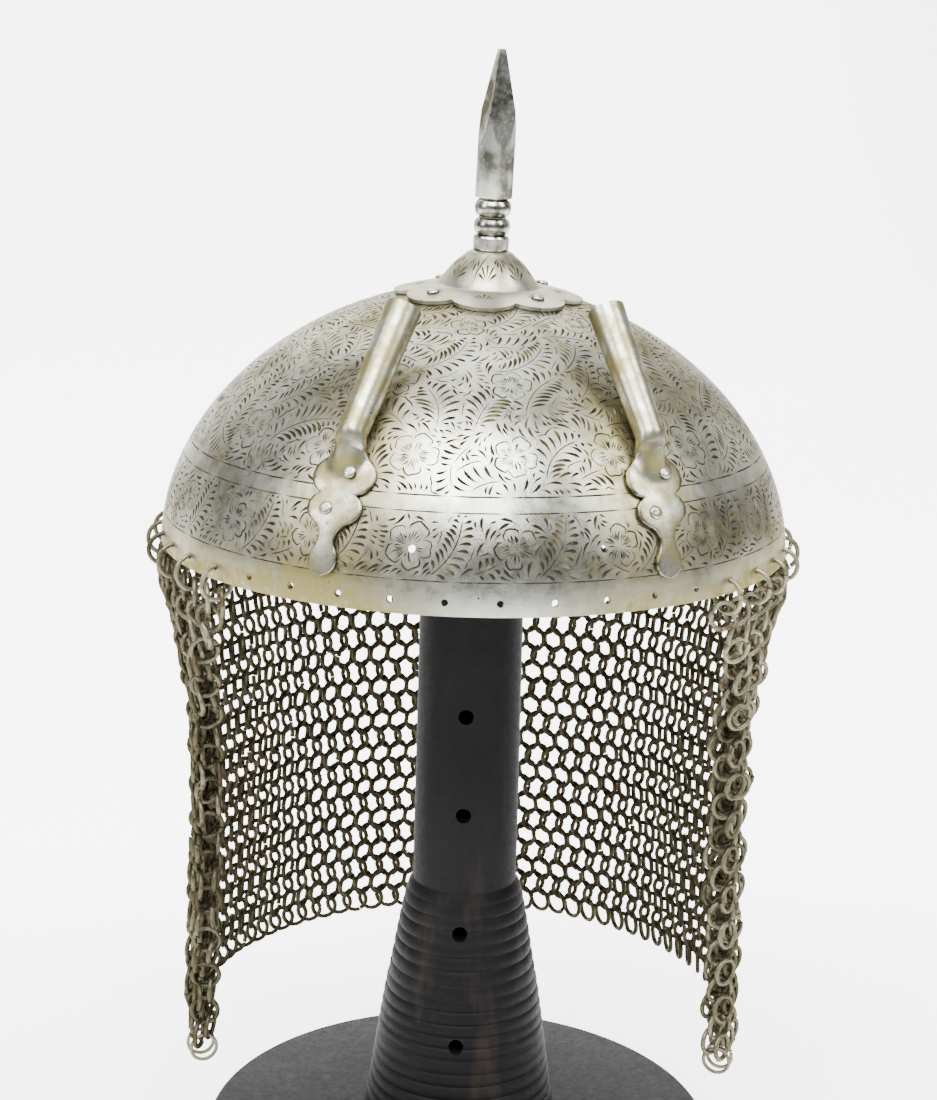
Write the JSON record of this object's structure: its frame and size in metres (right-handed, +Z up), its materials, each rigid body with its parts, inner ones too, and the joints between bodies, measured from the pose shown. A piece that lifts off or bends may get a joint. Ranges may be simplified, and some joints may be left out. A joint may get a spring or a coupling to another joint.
{
  "type": "kulah khud helmet on a display stand",
  "caption": "Domed steel helmet with spike finial, plume holders and a hanging mail curtain, on a turned stand with a round base.",
  "frame": {"origin": "centre of the stand's underside, on the surface that it stands on", "axes": "+Z up; the helmet's front faces -Y; +X to the right in a front view"},
  "size_m": [0.2092, 0.2045, 0.3721],
  "materials": {
    "skull_steel": "engraved, with yellow-brown tarnish in patches",
    "worn_steel": "worn, with brown tarnish",
    "mail_steel": "dark, rusty wire",
    "stand_wood": "black paint, slightly worn"
  },
  "bodies": {
    "root": {"finial_base": "skull_steel", "finial_rivet_1": "worn_steel", "finial_rivet_2": "worn_steel", "finial_rivet_3": "worn_steel", "finial_rivet_4": "worn_steel", "finial_spike": "skull_steel", "hanging_ring_01": "mail_steel", "hanging_ring_02": "mail_steel", "hanging_ring_03": "mail_steel", "hanging_ring_04": "mail_steel", "hanging_ring_05": "mail_steel", "hanging_ring_06": "mail_steel", "hanging_ring_07": "mail_steel", "hanging_ring_08": "mail_steel", "hanging_ring_09": "mail_steel", "hanging_ring_10": "mail_steel", "hanging_ring_11": "mail_steel", "hanging_ring_12": "mail_steel", "hanging_ring_13": "mail_steel", "hanging_ring_14": "mail_steel", "hanging_ring_15": "mail_steel", "hanging_ring_16": "mail_steel", "hanging_ring_17": "mail_steel", "hanging_ring_18": "mail_steel", "hanging_ring_19": "mail_steel", "hanging_ring_20": "mail_steel", "hanging_ring_21": "mail_steel", "hanging_ring_22": "mail_steel", "hanging_ring_23": "mail_steel", "hanging_ring_24": "mail_steel", "hanging_ring_25": "mail_steel", "hanging_ring_26": "mail_steel", "hanging_ring_27": "mail_steel", "hanging_ring_28": "mail_steel", "hanging_ring_29": "mail_steel", "hanging_ring_30": "mail_steel", "holder_rivet_left_1": "worn_steel", "holder_rivet_left_2": "worn_steel", "holder_rivet_right_1": "worn_steel", "holder_rivet_right_2": "worn_steel", "mail_curtain": "mail_steel", "plume_holder_left": "worn_steel", "plume_holder_right": "worn_steel", "skull": "skull_steel", "stand_base": "stand_wood", "stand_column": "stand_wood", "tail_ring_1": "mail_steel", "tail_ring_2": "mail_steel", "tail_ring_3": "mail_steel", "tail_ring_4": "mail_steel"}
  },
  "joints": []
}
